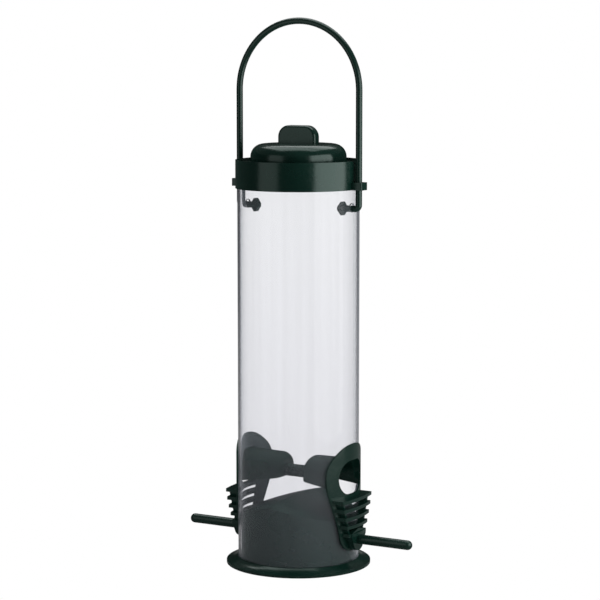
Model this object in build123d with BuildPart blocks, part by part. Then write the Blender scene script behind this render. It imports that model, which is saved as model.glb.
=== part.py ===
from build123d import *
import math
import os

# Hanging tube feeder for wild birds, with two feeding ports.
# Frame: millimetres, +Z up, origin at the centre of the base's underside.
# The two ports face +X and -X; the handle's wire stands in the XZ plane.

os.makedirs("parts", exist_ok=True)

# ---- driving dimensions ------------------------------------------------------------------

# how far a cutting shape runs past the piece that it cuts
OVERRUN = 2.0

# clear seed tube
TUBE_R = 31.2
TUBE_WALL = 1.2
TUBE_BORE_R = TUBE_R - TUBE_WALL
TUBE_FOOT_Z = 3.7
TUBE_TOP_Z = 205.2
TUBE_CUT_GAP = 0.3
TUBE_CUT_R = 9.9

# base: round foot, plug inside the tube, seed ramp on top of the plug
FOOT_R = 37.3
FOOT_RIM = 1.3
FOOT_SKIN = 1.5
FOOT_MID_OUT = 0.4
FOOT_MID_UP = 0.7
SEAT_LIP = 0.5
PLUG_R = 29.5
PLUG_BAND_R = 29.8
PLUG_BAND_Z = 6.1
PLUG_WALL = 1.6
RIDGE_Z = 35.9
RIDGE_ARC_R = 198.0
RAMP_SLOPE = 0.22
RAMP_CURVE = 0.0042
RIDGE_SPREAD = 26.0

# feeding ports
PORT_GAP = 0.1
PLATE_IN_R = TUBE_R + PORT_GAP
PLATE_T = 0.9
PLATE_OUT_R = PLATE_IN_R + PLATE_T
PLATE_TOP_Z = 65.0
PLATE_LOW_Z = 9.6
PLATE_EDGE = 0.35
MOUTH_Z = 47.8
MOUTH_R = 8.8
MOUTH_HALF_STEP = 3.3
MOUTH_PROUD = 0.25
THROAT_R = 7.7
THROAT_X = 27.0

# hood that keeps the seed off the feeding hole, inside the tube
HOOD_WALL = 1.2
HOOD_MOUTH_HALF = 12.0
HOOD_MOUTH_TOP = 57.2
HOOD_MOUTH_LOW = 41.4
HOOD_END_X = 6.8
HOOD_END_HALF = 10.0
HOOD_END_TOP = 56.8
HOOD_END_LOW = 44.7
HOOD_ROUND = 4.2
HOOD_ARCH = 9.0
HOOD_INNER_DROP = 8.0
HOOD_LET_IN = PLATE_T / 3

# drain grille below the hole
SLAT_Z = (36.7, 32.2, 27.7, 23.2, 18.7)
SLAT_HALF = (15.4, 14.3, 12.7, 10.9, 9.2)
SLAT_T = 1.7
SLAT_CORNER_X = 34.6
SLAT_BOW = 1.6
WEB_T = 1.3
WEB_INSET = 1.5
WEB_FRONT_X = 33.6
WINDOW_LOW_Z = SLAT_Z[-1]
GRILLE_LET_IN = PLATE_T / 4

# perches
PERCH_Z = 15.6
PERCH_R = 2.45
PERCH_TIP_X = 65.6
SPIGOT_R = 1.9
SPIGOT_END_X = 20.0
SPIGOT_CHAMFER = 0.5
BOSS_R = 5.8
BOSS_FACE_X = 35.4
SOCKET_R = 4.2
SOCKET_END_X = 18.5
PUSH_GAP = 0.1

# tie rod between the two hoods
TIE_R = 3.2
TIE_Z = 47.7
TIE_SPIGOT_R = 1.7
TIE_SPIGOT_LEN = 4.0
TIE_CHAMFER = 0.4

# handle: one round rod bent to a bail, its barbed ends hooked through the tube
HANDLE_R = 34.7
ROD_R = 1.65
HOOK_Z = 184.7
HOOK_BEND = 2.0
ARCH_Z = 243.9
BARB_HALF = 3.4
BARB_HALF_T = 1.5
BARB_BACK = 1.5
BARB_FLAT = 0.5
BARB_NOSE = 2.4
BARB_TIP_HALF = 0.8
BARB_X = 25.4
HOOK_HOLE_R = 2.3
HOOK_REST_GAP = 0.15
HOOK_HOLE_Z = HOOK_Z - ROD_R - HOOK_REST_GAP + HOOK_HOLE_R

# lid: collar over the tube, domed top, finger tab and two guide loops, in one moulding
COLLAR_R = 32.2
COLLAR_IN_R = 31.45
COLLAR_LOW_Z = 194.2
COLLAR_TOP_Z = 208.6
RIM_T = 1.1
LEDGE_Z = 207.1
LID_SKIN = 1.4
DOME_R = 24.5
DOME_TOP_Z = 216.7
DOME_ROUND = 6.6
TAB_HALF = 10.85
TAB_HALF_T = 2.8
TAB_TOP_Z = 226.0
TAB_CORNER = 6.0
TAB_EDGE = 1.3
LOOP_H = 3.9
LOOP_HALF = 3.2
LOOP_OUT_X = 37.9
LOOP_HOLE_HALF = 2.0
LOOP_HOLE_X = 36.7
LOOP_ROOT = 0.5
LOOP_CORNER = 0.6
LOOP_BACK = 0.3


def x_axis_at(height):
    """A line parallel to X at the given height above the base."""
    return Axis((0, 0, height), (1, 0, 0))


# ---- tube --------------------------------------------------------------------------------

with BuildPart() as tube:
    with BuildSketch(Plane.XY.offset(TUBE_FOOT_Z)):
        Circle(TUBE_R)
        Circle(TUBE_BORE_R, mode=Mode.SUBTRACT)
    extrude(amount=TUBE_TOP_Z - TUBE_FOOT_Z)
    # two cut-outs, one behind each port
    cut_half = HOOD_MOUTH_HALF + TUBE_CUT_GAP
    cut_top = HOOD_MOUTH_TOP + TUBE_CUT_GAP
    cut_low_side = HOOD_MOUTH_LOW - TUBE_CUT_GAP
    with BuildSketch(Plane.YZ):
        with Locations((0, cut_top - TUBE_CUT_R)):
            SlotCenterToCenter(2 * (cut_half - TUBE_CUT_R), 2 * TUBE_CUT_R)
        with Locations((0, (cut_top - TUBE_CUT_R + cut_low_side) / 2)):
            Rectangle(2 * cut_half, cut_top - TUBE_CUT_R - cut_low_side)
    extrude(amount=TUBE_R + OVERRUN, both=True, mode=Mode.SUBTRACT)
    # hook holes near the top and perch holes near the foot
    with BuildSketch(Plane.YZ):
        with Locations((0, HOOK_HOLE_Z)):
            Circle(HOOK_HOLE_R)
        with Locations((0, PERCH_Z)):
            Circle(SPIGOT_R + PUSH_GAP)
    extrude(amount=TUBE_R + OVERRUN, both=True, mode=Mode.SUBTRACT)
tube.part.label = "tube"

# ---- base --------------------------------------------------------------------------------


def ramp_drop(distance):
    """How far the ramp has fallen at a distance from its ridge."""
    return RAMP_SLOPE * distance + RAMP_CURVE * distance**2


def ramp_block(radius, low_z, ridge_z):
    """Round plug whose top is a gable with bowed slopes and an arched ridge along Y."""
    pivot_z = ridge_z - RIDGE_ARC_R
    tilt = math.radians(RIDGE_SPREAD / 2)
    gable_plane = Plane(
        origin=(0, 0, pivot_z),
        x_dir=(1, 0, 0),
        z_dir=(0, -math.cos(tilt), math.sin(tilt)),
    )
    half = radius + OVERRUN
    with BuildPart() as block:
        with BuildSketch(Plane.XY.offset(low_z)):
            Circle(radius)
        extrude(amount=ridge_z - low_z + OVERRUN)
        with BuildSketch(gable_plane):
            with BuildLine():
                slope_line = ThreePointArc(
                    (0, RIDGE_ARC_R),
                    (half / 2, RIDGE_ARC_R - ramp_drop(half / 2)),
                    (half, RIDGE_ARC_R - ramp_drop(half)),
                )
                Polyline(slope_line @ 1, (half, RIDGE_ARC_R / 2), (0, RIDGE_ARC_R / 2))
                mirror(about=Plane.YZ)
            make_face()
        revolve(axis=x_axis_at(pivot_z), revolution_arc=RIDGE_SPREAD, mode=Mode.INTERSECT)
    return block.part


plug_low_z = PLUG_BAND_Z + PLUG_BAND_R - PLUG_R
plug_outer = ramp_block(PLUG_R, plug_low_z, RIDGE_Z)
plug_inner = ramp_block(PLUG_R - PLUG_WALL, -OVERRUN, RIDGE_Z - PLUG_WALL)

with BuildPart() as base:
    # foot: thin rim, sweeping up to the seat of the tube
    with BuildSketch(Plane.XZ):
        with BuildLine():
            foot_top = ThreePointArc(
                (FOOT_R, FOOT_RIM),
                ((FOOT_R + TUBE_R) / 2 + FOOT_MID_OUT, FOOT_RIM + FOOT_MID_UP),
                (TUBE_R + SEAT_LIP, TUBE_FOOT_Z),
            )
            Polyline(
                foot_top @ 1,
                (PLUG_BAND_R, TUBE_FOOT_Z),
                (PLUG_BAND_R, PLUG_BAND_Z),
                (PLUG_R, plug_low_z),
                (0, plug_low_z),
                (0, TUBE_FOOT_Z - FOOT_SKIN),
                (TUBE_R, TUBE_FOOT_Z - FOOT_SKIN),
                (FOOT_R - FOOT_SKIN, 0),
                (FOOT_R, 0),
                foot_top @ 0,
            )
        make_face()
    revolve(axis=Axis.Z)
    # plug with the seed ramp, hollow and open underneath
    add(plug_outer)
    add(plug_inner, mode=Mode.SUBTRACT)
    # blind sockets that the perches push into
    for side in (1, -1):
        outward = Plane(origin=(side * SOCKET_END_X, 0, PERCH_Z), z_dir=(side, 0, 0))
        with BuildSketch(outward):
            Circle(SOCKET_R)
        extrude(amount=PLUG_R - PLUG_WALL / 2 - SOCKET_END_X)
        with BuildSketch(outward.offset(SPIGOT_END_X - SOCKET_END_X - PUSH_GAP)):
            Circle(SPIGOT_R + PUSH_GAP)
        extrude(amount=PLUG_R, mode=Mode.SUBTRACT)
base.part.label = "base"

# ---- feeding ports -----------------------------------------------------------------------

# half outline of the port's plate from its top to the start of its round lower end
PLATE_SIDE = (
    (0, PLATE_TOP_Z),
    (7.9, PLATE_TOP_Z - 1.3),
    (13.1, 60.4),
    (16.4, 56.4),
    (18.0, 51.6),
    (18.2, 46.0),
    (17.2, 40.0),
    (14.8, 32.0),
    (12.2, 24.0),
    (10.3, 16.0),
)
PLATE_NOSE = (7.4, 11.6)


def hood_solid(half, top, low, end_half, end_top, end_low, end_x, end_round):
    """Tapering arch-shaped block from the tube's wall to the hood's inner end."""
    sections = (
        (PLATE_IN_R, half, top, low),
        (end_x, end_half, end_top, end_low),
    )
    with BuildPart() as block:
        for x, section_half, section_top, section_low in sections:
            arch = HOOD_ARCH * section_half / HOOD_MOUTH_HALF
            with BuildSketch(Plane.YZ.offset(x)):
                with BuildLine():
                    spring = section_top - arch
                    Line((-section_half, spring), (-section_half, section_low))
                    Line((-section_half, section_low), (section_half, section_low))
                    Line((section_half, section_low), (section_half, spring))
                    EllipticalCenterArc((0, spring), section_half, arch, start_angle=0, arc_size=180)
                make_face()
        loft(ruled=True)
        end_face = block.faces().sort_by(Axis.X)[0]
        end_edges = end_face.edges().sort_by(Axis.Z)[1:]
        fillet(end_edges, radius=end_round)
    return block.part


hood_outer = hood_solid(
    HOOD_MOUTH_HALF,
    HOOD_MOUTH_TOP,
    HOOD_MOUTH_LOW,
    HOOD_END_HALF,
    HOOD_END_TOP,
    HOOD_END_LOW,
    HOOD_END_X,
    HOOD_ROUND,
)
hood_inner = hood_solid(
    HOOD_MOUTH_HALF - HOOD_WALL,
    HOOD_MOUTH_TOP - HOOD_WALL,
    HOOD_MOUTH_LOW - HOOD_INNER_DROP,
    HOOD_END_HALF - HOOD_WALL,
    HOOD_END_TOP - HOOD_WALL,
    HOOD_END_LOW - HOOD_INNER_DROP,
    HOOD_END_X + HOOD_WALL,
    HOOD_ROUND - HOOD_WALL,
)

with BuildPart() as hood:
    add(hood_outer)
    add(hood_inner, mode=Mode.SUBTRACT)
    # its wide end follows the round of the plate
    with BuildSketch():
        Circle(PLATE_IN_R + HOOD_LET_IN)
    extrude(amount=TUBE_TOP_Z, mode=Mode.INTERSECT)

web_slope = (SLAT_HALF[0] - SLAT_HALF[-1]) / (SLAT_Z[0] - SLAT_Z[-1])


def web_line(inset, z):
    """Half-width of the grille at a height, measured in from the ends of the slats."""
    return SLAT_HALF[0] - inset - web_slope * (SLAT_Z[0] - z)


with BuildPart() as grille:
    # side webs of the grille
    with BuildSketch(Plane.YZ):
        for inset, web_mode in ((WEB_INSET, Mode.ADD), (WEB_INSET + WEB_T, Mode.SUBTRACT)):
            with BuildLine():
                Polyline(
                    (-web_line(inset, SLAT_Z[0]), SLAT_Z[0]),
                    (web_line(inset, SLAT_Z[0]), SLAT_Z[0]),
                    (web_line(inset, PERCH_Z), PERCH_Z),
                    (-web_line(inset, PERCH_Z), PERCH_Z),
                    close=True,
                )
            make_face(mode=web_mode)
    extrude(amount=WEB_FRONT_X)
    # slats, bowed at the front, with a rounded nub past each web
    for slat_z, slat_half in zip(SLAT_Z, SLAT_HALF):
        with BuildSketch(Plane.XY.offset(slat_z - SLAT_T / 2)):
            with BuildLine():
                front = ThreePointArc(
                    (SLAT_CORNER_X, -slat_half),
                    (SLAT_CORNER_X + SLAT_BOW, 0),
                    (SLAT_CORNER_X, slat_half),
                )
                Polyline(front @ 1, (0, slat_half), (0, -slat_half), front @ 0)
            make_face()
        extrude(amount=SLAT_T)
    # tongue from the lowest slat down to a round boss that takes the perch
    with BuildSketch(Plane.YZ):
        with Locations((0, PERCH_Z)):
            Circle(BOSS_R)
        with Locations((0, SLAT_Z[-1])):
            Rectangle(2 * web_line(WEB_INSET, SLAT_Z[-1]), SLAT_T)
        make_hull()
    extrude(amount=BOSS_FACE_X)
    # its back is let into the plate
    with BuildSketch():
        Circle(PLATE_IN_R + GRILLE_LET_IN)
    extrude(amount=TUBE_TOP_Z, mode=Mode.SUBTRACT)

with BuildPart() as port_right:
    # plate: light-bulb outline wrapped round the tube
    with BuildSketch(Plane.YZ):
        with BuildLine():
            side_line = Spline(PLATE_SIDE, tangents=((1, 0), (-0.25, -1)))
            nose_line = Spline(
                (side_line @ 1, PLATE_NOSE, (0, PLATE_LOW_Z)),
                tangents=(side_line % 1, (-1, 0)),
            )
            mirror(about=Plane.YZ)
        make_face()
        # open window between the webs of the grille
        window_top_half = web_line(WEB_INSET + WEB_T, SLAT_Z[0])
        window_low_half = web_line(WEB_INSET + WEB_T, WINDOW_LOW_Z)
        with BuildLine():
            Polyline(
                (-window_top_half, SLAT_Z[0]),
                (window_top_half, SLAT_Z[0]),
                (window_low_half, WINDOW_LOW_Z),
                (-window_low_half, WINDOW_LOW_Z),
                close=True,
            )
        make_face(mode=Mode.SUBTRACT)
    extrude(amount=FOOT_R)
    with BuildSketch():
        Circle(PLATE_OUT_R)
        Circle(PLATE_IN_R, mode=Mode.SUBTRACT)
    extrude(amount=TUBE_TOP_Z, mode=Mode.INTERSECT)
    fillet(port_right.edges().filter_by(GeomType.BSPLINE).group_by(SortBy.LENGTH)[-1], PLATE_EDGE)
    add(grille.part)
    # hood reaching into the tube
    add(hood.part)
    # flared mouth
    with BuildSketch(Plane.YZ.offset(PLATE_OUT_R + MOUTH_PROUD)):
        with Locations((0, MOUTH_Z)):
            SlotCenterToCenter(2 * MOUTH_HALF_STEP, 2 * MOUTH_R)
    with BuildSketch(Plane.YZ.offset(THROAT_X)):
        with Locations((0, MOUTH_Z)):
            SlotCenterToCenter(2 * MOUTH_HALF_STEP, 2 * THROAT_R)
    loft(mode=Mode.SUBTRACT)
    # holes for the perch's spigot and for the tie rod's spigot
    with BuildSketch(Plane.YZ):
        with Locations((0, PERCH_Z)):
            Circle(SPIGOT_R + PUSH_GAP)
    extrude(amount=BOSS_FACE_X + OVERRUN, mode=Mode.SUBTRACT)
    with BuildSketch(Plane.YZ):
        with Locations((0, TIE_Z)):
            Circle(TIE_SPIGOT_R + PUSH_GAP)
    extrude(amount=HOOD_END_X + 2 * HOOD_WALL, mode=Mode.SUBTRACT)
port_right.part.label = "port_right"

with BuildPart() as port_left:
    add(port_right.part.rotate(Axis.Z, 180))
port_left.part.label = "port_left"

# ---- tie rod between the hoods -----------------------------------------------------------

with BuildPart() as tie_rod:
    tie_half = HOOD_END_X - PUSH_GAP / 2
    with BuildSketch(Plane.YZ.offset(-tie_half)):
        with Locations((0, TIE_Z)):
            Circle(TIE_R)
    extrude(amount=2 * tie_half)
    tie_length = 2 * (tie_half + TIE_SPIGOT_LEN)
    with BuildSketch(Plane.YZ.offset(-tie_length / 2)):
        with Locations((0, TIE_Z)):
            Circle(TIE_SPIGOT_R)
    extrude(amount=tie_length)
    tie_ends = tie_rod.faces().sort_by(Axis.X)
    chamfer(tie_ends[0].edges() + tie_ends[-1].edges(), TIE_CHAMFER)
tie_rod.part.label = "tie_rod"

# ---- perches -----------------------------------------------------------------------------

with BuildPart() as perch_right:
    with BuildSketch(Plane.XZ):
        with BuildLine():
            tip = CenterArc((PERCH_TIP_X - PERCH_R, PERCH_Z), PERCH_R, 90, -90)
            Polyline(
                tip @ 1,
                (SPIGOT_END_X, PERCH_Z),
                (SPIGOT_END_X, PERCH_Z + SPIGOT_R - SPIGOT_CHAMFER),
                (SPIGOT_END_X + SPIGOT_CHAMFER, PERCH_Z + SPIGOT_R),
                (BOSS_FACE_X + PUSH_GAP / 2, PERCH_Z + SPIGOT_R),
                (BOSS_FACE_X + PUSH_GAP / 2, PERCH_Z + PERCH_R),
                tip @ 0,
            )
        make_face()
    revolve(axis=x_axis_at(PERCH_Z))
perch_right.part.label = "perch_right"

with BuildPart() as perch_left:
    add(perch_right.part.rotate(Axis.Z, 180))
perch_left.part.label = "perch_left"

# ---- lid ---------------------------------------------------------------------------------

with BuildPart() as tab:
    # finger tab, its foot sunk into the dome
    with BuildSketch(Plane.XZ):
        with Locations((0, (TAB_TOP_Z + DOME_TOP_Z) / 2 - TAB_CORNER / 2)):
            RectangleRounded(2 * TAB_HALF, TAB_TOP_Z - DOME_TOP_Z + TAB_CORNER, TAB_CORNER)
        with Locations((0, DOME_TOP_Z - LID_SKIN / 2)):
            Rectangle(2 * TAB_HALF + 1, 2 * TAB_CORNER, align=(Align.CENTER, Align.MAX), mode=Mode.SUBTRACT)
    extrude(amount=TAB_HALF_T, both=True)
    for front_or_back in (0, -1):
        tab_face = tab.faces().sort_by(Axis.Y)[front_or_back]
        fillet(tab_face.edges().sort_by(Axis.Z)[1:], radius=TAB_EDGE)

with BuildPart() as lid:
    # collar, recessed ledge and hollow dome
    with BuildSketch(Plane.XZ):
        with BuildLine():
            dome_side = DOME_TOP_Z - DOME_ROUND
            inner_round = DOME_ROUND - LID_SKIN
            outside = Polyline(
                (COLLAR_IN_R, COLLAR_LOW_Z),
                (COLLAR_R, COLLAR_LOW_Z),
                (COLLAR_R, COLLAR_TOP_Z),
                (COLLAR_R - RIM_T, COLLAR_TOP_Z),
                (COLLAR_R - RIM_T, LEDGE_Z),
                (DOME_R, LEDGE_Z),
                (DOME_R, dome_side),
            )
            CenterArc((DOME_R - DOME_ROUND, dome_side), DOME_ROUND, 0, 90)
            Polyline(
                (DOME_R - DOME_ROUND, DOME_TOP_Z),
                (0, DOME_TOP_Z),
                (0, DOME_TOP_Z - LID_SKIN),
                (DOME_R - DOME_ROUND, DOME_TOP_Z - LID_SKIN),
            )
            CenterArc((DOME_R - DOME_ROUND, dome_side), inner_round, 0, 90)
            Polyline(
                (DOME_R - LID_SKIN, dome_side),
                (DOME_R - LID_SKIN, LEDGE_Z - LID_SKIN),
                (COLLAR_IN_R, LEDGE_Z - LID_SKIN),
                outside @ 0,
            )
        make_face()
    revolve(axis=Axis.Z)
    add(tab.part)
    # guide loops that run on the handle
    with BuildSketch(Plane.XY.offset(COLLAR_LOW_Z)):
        for side in (1, -1):
            root_x = COLLAR_R - LOOP_ROOT
            with Locations((side * (root_x + LOOP_OUT_X) / 2, 0)):
                RectangleRounded(LOOP_OUT_X - root_x, 2 * LOOP_HALF, LOOP_CORNER)
            with Locations((side * (root_x + LOOP_BACK + LOOP_HOLE_X) / 2, 0)):
                Rectangle(LOOP_HOLE_X - root_x - LOOP_BACK, 2 * LOOP_HOLE_HALF, mode=Mode.SUBTRACT)
    extrude(amount=LOOP_H)
lid.part.label = "lid"

# ---- handle ------------------------------------------------------------------------------

with BuildPart() as handle:
    with BuildLine(Plane.XZ):
        Line((-BARB_X, HOOK_Z), (-HANDLE_R + HOOK_BEND, HOOK_Z))
        CenterArc((-HANDLE_R + HOOK_BEND, HOOK_Z + HOOK_BEND), HOOK_BEND, 270, -90)
        Line((-HANDLE_R, HOOK_Z + HOOK_BEND), (-HANDLE_R, ARCH_Z))
        CenterArc((0, ARCH_Z), HANDLE_R, 180, -180)
        Line((HANDLE_R, ARCH_Z), (HANDLE_R, HOOK_Z + HOOK_BEND))
        CenterArc((HANDLE_R - HOOK_BEND, HOOK_Z + HOOK_BEND), HOOK_BEND, 0, -90)
        Line((HANDLE_R - HOOK_BEND, HOOK_Z), (BARB_X, HOOK_Z))
    with BuildSketch(Plane(origin=(-BARB_X, 0, HOOK_Z), z_dir=(-1, 0, 0))):
        Circle(ROD_R)
    sweep(transition=Transition.ROUND)
    # flat arrowhead at each end, too tall to slip back through the tube's hole
    for side in (1, -1):
        with BuildSketch(Plane.XZ):
            with BuildLine():
                Polyline(
                    (side * (BARB_X + BARB_BACK), HOOK_Z + ROD_R),
                    (side * (BARB_X + BARB_FLAT), HOOK_Z + BARB_HALF),
                    (side * (BARB_X - BARB_FLAT), HOOK_Z + BARB_HALF),
                    (side * (BARB_X - BARB_NOSE), HOOK_Z + BARB_TIP_HALF),
                    (side * (BARB_X - BARB_NOSE), HOOK_Z - BARB_TIP_HALF),
                    (side * (BARB_X - BARB_FLAT), HOOK_Z - BARB_HALF),
                    (side * (BARB_X + BARB_FLAT), HOOK_Z - BARB_HALF),
                    (side * (BARB_X + BARB_BACK), HOOK_Z - ROD_R),
                    close=True,
                )
            make_face()
        extrude(amount=BARB_HALF_T, both=True)
handle.part.label = "handle"

# ---- export ------------------------------------------------------------------------------

export_step(tube.part, "parts/tube.step")
export_step(base.part, "parts/base.step")
export_step(port_right.part, "parts/port_right.step")
export_step(port_left.part, "parts/port_left.step")
export_step(tie_rod.part, "parts/tie_rod.step")
export_step(perch_right.part, "parts/perch_right.step")
export_step(perch_left.part, "parts/perch_left.step")
export_step(lid.part, "parts/lid.step")
export_step(handle.part, "parts/handle.step")
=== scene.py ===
"""Hanging tube feeder: materials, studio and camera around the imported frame. Everything is in metres."""
import math

import bpy
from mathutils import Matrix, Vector


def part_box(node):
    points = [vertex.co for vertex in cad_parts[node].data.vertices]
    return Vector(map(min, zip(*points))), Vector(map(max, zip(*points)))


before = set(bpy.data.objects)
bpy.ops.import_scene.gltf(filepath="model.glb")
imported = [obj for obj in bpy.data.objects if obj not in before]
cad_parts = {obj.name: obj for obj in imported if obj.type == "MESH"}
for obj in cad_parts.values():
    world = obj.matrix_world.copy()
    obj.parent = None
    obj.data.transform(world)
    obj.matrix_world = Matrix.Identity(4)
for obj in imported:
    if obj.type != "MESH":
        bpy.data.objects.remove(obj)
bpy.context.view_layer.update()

# ---- camera ------------------------------------------------------------------------------

CAMERA_AZIMUTH = 29.29
CAMERA_DISTANCE = 1.0755
CAMERA_HEIGHT = 0.2685
CAMERA_PITCH = 6.99
LENS_MM = 126.804
SENSOR_MM = 36.0
SHIFT_X = 0.0025

# ---- noise textures: scale, detail, roughness --------------------------------------------

FLOW_NOISE = (55.0, 4.0, 0.55)
SCUFF_NOISE = (900.0, 3.0, 0.6)
SINK_NOISE = (70.0, 1.0, 0.4)
GRAIN_NOISE = (2600.0, 2.0, 0.5)
STREAK_NOISE = (160.0, 3.0, 0.55)

# most of a noise value lies between these
NOISE_LOW = 0.3
NOISE_HIGH = 0.7

# ---- green moulded plastic ---------------------------------------------------------------

GREEN_DARK = (0.0030, 0.0160, 0.0115, 1.0)
GREEN_LIGHT = (0.0050, 0.0230, 0.0170, 1.0)
GREEN_IOR = 1.5
SHINE_TINT = (0.80, 1.0, 0.93, 1.0)
FLOW_DARK_AT = 0.3
FLOW_LIGHT_AT = 0.72
GLOSSY_ROUGHNESS = 0.20
SATIN_ROUGHNESS = 0.28
SCUFF_SPREAD = 0.06
GLOSSY_SINK = 0.35
SATIN_SINK = 0.25
SINK_DEPTH = 0.0006
GRAIN_DEPTH = 0.00005
GRAIN_STRENGTH = 0.08

# ---- clear plastic -----------------------------------------------------------------------

CLEAR_LOW = (0.890, 0.890, 0.910, 1.0)
CLEAR_HIGH = (0.935, 0.937, 0.948, 1.0)
CLEAR_IOR = 1.2
CLEAR_SHINE = 0.9
CLEAR_SMOOTHEST = 0.01
CLEAR_ROUGHEST = 0.035
LOW_TINT_AT = 0.25
HIGH_TINT_AT = 0.9
STREAK_STRETCH = 0.02
STREAK_DARKEST = 0.965
STREAK_DARK_AT = 0.35
STREAK_CLEAR_AT = 0.65
STREAK_DEPTH = 0.0003
STREAK_STRENGTH = 0.1
HAZE_COLOUR = (0.80, 0.84, 0.93, 1.0)
HAZE_FACE = 0.022
HAZE_EDGE = 0.3
HAZE_EDGE_START = 0.4
EDGE_BLEND = 0.35

# ---- studio ------------------------------------------------------------------------------

FLOOR_FLAT_R = 1.7
FLOOR_RISE_R = 3.4
FLOOR_RISE_H = 1.3
FLOOR_STEPS = 28
FLOOR_SIDES = 96
FLOOR_GREY = 0.22
HALF_A_BOUNCE = 0.5
SURROUND = 0.07

# each soft panel: azimuth, distance, height, width, tall, watts
PANELS = {
    "key_right": (88.0, 0.35, 0.19, 0.42, 0.37, 1.3),
    "fill_left": (-26.0, 0.4, 0.19, 0.27, 0.37, 0.2),
    "top_back": (205.0, 0.3, 1.1, 1.2, 1.2, 10.0),
}


# ---- node helpers ------------------------------------------------------------------------

def grey(value):
    return (value, value, value, 1.0)


def new_material(name):
    """An empty node material, its tree and its output node."""
    material = bpy.data.materials.new(name)
    material.use_nodes = True
    tree = material.node_tree
    tree.nodes.clear()
    return material, tree, tree.nodes.new("ShaderNodeOutputMaterial")


def noise(tree, coordinates, kind):
    """A noise value over the given coordinates; kind is scale, detail, roughness."""
    scale, detail, roughness = kind
    made = tree.nodes.new("ShaderNodeTexNoise")
    made.inputs["Scale"].default_value = scale
    made.inputs["Detail"].default_value = detail
    made.inputs["Roughness"].default_value = roughness
    tree.links.new(coordinates, made.inputs["Vector"])
    return made.outputs["Fac"]


def ramp(tree, source, stops):
    """A colour ramp over a grey value; stops are (position, colour)."""
    made = tree.nodes.new("ShaderNodeValToRGB")
    elements = made.color_ramp.elements
    while len(elements) > 1:
        elements.remove(elements[-1])
    elements[0].position, elements[0].color = stops[0]
    for position, colour in stops[1:]:
        elements.new(position).color = colour
    tree.links.new(source, made.inputs["Fac"])
    return made.outputs["Color"]


def map_range(tree, source, low, high, from_low, from_high):
    """A grey value moved from one range to another, held at the ends."""
    made = tree.nodes.new("ShaderNodeMapRange")
    made.inputs["From Min"].default_value = from_low
    made.inputs["From Max"].default_value = from_high
    made.inputs["To Min"].default_value = low
    made.inputs["To Max"].default_value = high
    tree.links.new(source, made.inputs["Value"])
    return made.outputs["Result"]


def bump(tree, height, strength, distance, under=None):
    """A bump normal, laid over another one if given."""
    made = tree.nodes.new("ShaderNodeBump")
    made.inputs["Strength"].default_value = strength
    made.inputs["Distance"].default_value = distance
    tree.links.new(height, made.inputs["Height"])
    if under is not None:
        tree.links.new(under, made.inputs["Normal"])
    return made.outputs["Normal"]


def multiply_colours(tree, first, second):
    """The product of two colours."""
    made = tree.nodes.new("ShaderNodeVectorMath")
    made.operation = "MULTIPLY"
    tree.links.new(first, made.inputs[0])
    tree.links.new(second, made.inputs[1])
    return made.outputs["Vector"]


def plain_shader(tree, kind, colour):
    """A one-colour shader's output."""
    made = tree.nodes.new(kind)
    made.inputs["Color"].default_value = colour
    return made.outputs[0]


def mix_shaders(tree, amount, first, second):
    """The first shader where amount is 0, the second where it is 1."""
    made = tree.nodes.new("ShaderNodeMixShader")
    tree.links.new(amount, made.inputs[0])
    tree.links.new(first, made.inputs[1])
    tree.links.new(second, made.inputs[2])
    return made.outputs["Shader"]


# ---- materials ---------------------------------------------------------------------------

def moulded_green(name, roughness, sink_strength):
    """Dark green moulded plastic with flow marks, sink ripples, fine scuffs and grain."""
    material, tree, output = new_material(name)
    where = tree.nodes.new("ShaderNodeTexCoord").outputs["Object"]
    shader = tree.nodes.new("ShaderNodeBsdfPrincipled")
    shader.inputs["IOR"].default_value = GREEN_IOR
    shader.inputs["Specular Tint"].default_value = SHINE_TINT
    flow = noise(tree, where, FLOW_NOISE)
    colour = ramp(tree, flow, [(FLOW_DARK_AT, GREEN_DARK), (FLOW_LIGHT_AT, GREEN_LIGHT)])
    tree.links.new(colour, shader.inputs["Base Color"])
    smoothest = roughness - SCUFF_SPREAD
    roughest = roughness + SCUFF_SPREAD
    scuffs = noise(tree, where, SCUFF_NOISE)
    scuffed = map_range(tree, scuffs, smoothest, roughest, NOISE_LOW, NOISE_HIGH)
    tree.links.new(scuffed, shader.inputs["Roughness"])
    sink = bump(tree, noise(tree, where, SINK_NOISE), sink_strength, SINK_DEPTH)
    grain = bump(tree, noise(tree, where, GRAIN_NOISE), GRAIN_STRENGTH, GRAIN_DEPTH, sink)
    tree.links.new(grain, shader.inputs["Normal"])
    tree.links.new(shader.outputs["BSDF"], output.inputs["Surface"])
    return material


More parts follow.
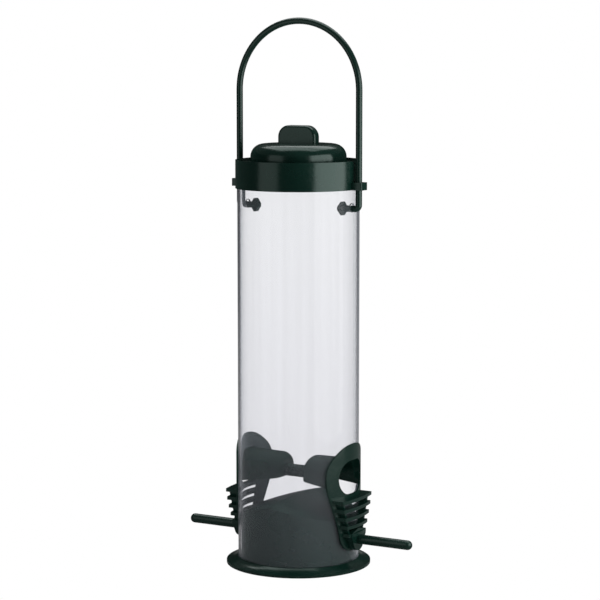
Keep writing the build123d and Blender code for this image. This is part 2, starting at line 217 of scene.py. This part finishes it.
def clear_plastic(low_z, high_z):
    """Extruded clear tube: lengthwise draw lines, light haze, a little darker towards its foot."""
    material, tree, output = new_material("clear_tube")
    where = tree.nodes.new("ShaderNodeTexCoord").outputs["Object"]
    stretch = tree.nodes.new("ShaderNodeMapping")
    stretch.inputs["Scale"].default_value = (1.0, 1.0, STREAK_STRETCH)
    tree.links.new(where, stretch.inputs["Vector"])
    lines = noise(tree, stretch.outputs["Vector"], STREAK_NOISE)
    streaks = ramp(tree, lines, [(STREAK_DARK_AT, grey(STREAK_DARKEST)), (STREAK_CLEAR_AT, grey(1.0))])
    split = tree.nodes.new("ShaderNodeSeparateXYZ")
    tree.links.new(where, split.inputs["Vector"])
    height = map_range(tree, split.outputs["Z"], 0.0, 1.0, low_z, high_z)
    # the tint grows darker towards the foot of the tube
    tint = ramp(tree, height, [(LOW_TINT_AT, CLEAR_LOW), (HIGH_TINT_AT, CLEAR_HIGH)])

    glass = tree.nodes.new("ShaderNodeBsdfPrincipled")
    glass.inputs["Transmission Weight"].default_value = 1.0
    glass.inputs["IOR"].default_value = CLEAR_IOR
    glass.inputs["Specular IOR Level"].default_value = CLEAR_SHINE
    tree.links.new(multiply_colours(tree, tint, streaks), glass.inputs["Base Color"])
    roughness = map_range(tree, lines, CLEAR_SMOOTHEST, CLEAR_ROUGHEST, NOISE_LOW, NOISE_HIGH)
    tree.links.new(roughness, glass.inputs["Roughness"])
    tree.links.new(bump(tree, lines, STREAK_STRENGTH, STREAK_DEPTH), glass.inputs["Normal"])

    # a light haze all over, more where the wall is seen edge on
    haze = plain_shader(tree, "ShaderNodeBsdfDiffuse", HAZE_COLOUR)
    edge = tree.nodes.new("ShaderNodeLayerWeight")
    edge.inputs["Blend"].default_value = EDGE_BLEND
    amount = map_range(tree, edge.outputs["Facing"], HAZE_FACE, HAZE_EDGE, HAZE_EDGE_START, 1.0)
    hazy = mix_shaders(tree, amount, glass.outputs["BSDF"], haze)

    # the lamps shine through the wall on to what stands inside
    path = tree.nodes.new("ShaderNodeLightPath")
    through = plain_shader(tree, "ShaderNodeBsdfTransparent", CLEAR_HIGH)
    both = mix_shaders(tree, path.outputs["Is Shadow Ray"], hazy, through)
    tree.links.new(both, output.inputs["Surface"])
    return material


def dress(name, material):
    """Puts one material on every slot of a CAD node."""
    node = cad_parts[name]
    if not node.data.materials:
        node.data.materials.append(material)
    for slot in node.material_slots:
        slot.material = material


# ---- floor, lamps and camera -------------------------------------------------------------

def floor_mesh():
    """A round floor, flat in the middle and curving up all round, so it shows no horizon."""
    rings = [(FLOOR_FLAT_R, 0.0)]
    for step in range(1, FLOOR_STEPS + 1):
        turn = math.pi / 2 * step / FLOOR_STEPS
        radius = FLOOR_FLAT_R + (FLOOR_RISE_R - FLOOR_FLAT_R) * math.sin(turn)
        rings.append((radius, FLOOR_RISE_H * (1 - math.cos(turn))))
    points = [(0.0, 0.0, 0.0)]
    for radius, height in rings:
        for side in range(FLOOR_SIDES):
            a = 2 * math.pi * side / FLOOR_SIDES
            points.append((radius * math.cos(a), radius * math.sin(a), height))
    faces = []
    for side in range(FLOOR_SIDES):
        following = (side + 1) % FLOOR_SIDES
        faces.append((0, 1 + side, 1 + following))
        for ring in range(FLOOR_STEPS):
            inner = 1 + ring * FLOOR_SIDES
            outer = inner + FLOOR_SIDES
            faces.append((inner + side, outer + side, outer + following, inner + following))
    mesh = bpy.data.meshes.new("floor")
    mesh.from_pydata(points, [], faces)
    mesh.shade_smooth()
    return mesh


def floor_material():
    """White where it is looked at, straight or through clear plastic, and dimmer in reflections."""
    material, tree, output = new_material("floor_white")
    path = tree.nodes.new("ShaderNodeLightPath")
    bounces = tree.nodes.new("ShaderNodeMath")
    bounces.operation = "ADD"
    tree.links.new(path.outputs["Diffuse Depth"], bounces.inputs[0])
    tree.links.new(path.outputs["Glossy Depth"], bounces.inputs[1])
    direct = tree.nodes.new("ShaderNodeMath")
    direct.operation = "LESS_THAN"
    direct.inputs[1].default_value = HALF_A_BOUNCE
    tree.links.new(bounces.outputs["Value"], direct.inputs[0])
    dim = plain_shader(tree, "ShaderNodeBsdfDiffuse", grey(FLOOR_GREY))
    white = plain_shader(tree, "ShaderNodeEmission", grey(1.0))
    tree.links.new(mix_shaders(tree, direct.outputs["Value"], dim, white), output.inputs["Surface"])
    return material


def studio():
    """The floor and a dim, even surround."""
    mesh = floor_mesh()
    mesh.materials.append(floor_material())
    floor = bpy.data.objects.new("floor", mesh)
    bpy.context.scene.collection.objects.link(floor)
    world = bpy.data.worlds.new("surround")
    world.use_nodes = True
    background = world.node_tree.nodes["Background"]
    background.inputs["Color"].default_value = grey(1.0)
    background.inputs["Strength"].default_value = SURROUND
    bpy.context.scene.world = world


def soft_panel(name, azimuth, distance, height, width, tall, watts, aim_z):
    """A rectangular soft light round the object, seen only as light and in reflections."""
    data = bpy.data.lights.new(name, "AREA")
    data.shape = "RECTANGLE"
    data.size = width
    data.size_y = tall
    data.energy = watts
    panel = bpy.data.objects.new(name, data)
    bpy.context.scene.collection.objects.link(panel)
    a = math.radians(azimuth)
    panel.location = (distance * math.sin(a), -distance * math.cos(a), height)
    to_object = Vector((0.0, 0.0, min(height, aim_z))) - panel.location
    panel.rotation_euler = to_object.to_track_quat("-Z", "Y").to_euler()
    panel.visible_camera = False
    panel.visible_transmission = False


def camera():
    """The camera at the photograph's angle."""
    data = bpy.data.cameras.new("camera")
    data.sensor_width = SENSOR_MM
    data.lens = LENS_MM
    data.shift_x = SHIFT_X
    data.dof.use_dof = False
    stand = bpy.data.objects.new("camera", data)
    bpy.context.scene.collection.objects.link(stand)
    a = math.radians(CAMERA_AZIMUTH)
    pitch = math.radians(CAMERA_PITCH)
    stand.location = (CAMERA_DISTANCE * math.sin(a), -CAMERA_DISTANCE * math.cos(a), CAMERA_HEIGHT)
    ahead = Vector((-math.sin(a) * math.cos(pitch), math.cos(a) * math.cos(pitch), -math.sin(pitch)))
    stand.rotation_euler = ahead.to_track_quat("-Z", "Y").to_euler()
    bpy.context.scene.camera = stand


# ---- making ------------------------------------------------------------------------------

tube_low, tube_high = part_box("tube")
glossy = moulded_green("green_gloss", GLOSSY_ROUGHNESS, GLOSSY_SINK)
satin = moulded_green("green_satin", SATIN_ROUGHNESS, SATIN_SINK)
for node_name in ("lid", "port_right", "port_left", "base"):
    dress(node_name, glossy)
for node_name in ("handle", "perch_right", "perch_left", "tie_rod"):
    dress(node_name, satin)
dress("tube", clear_plastic(tube_low[2], tube_high[2]))

studio()
lid_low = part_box("lid")[0]
for panel_name, panel_values in PANELS.items():
    soft_panel(panel_name, *panel_values, aim_z=lid_low[2])
camera()

bpy.context.scene.view_settings.view_transform = "Standard"
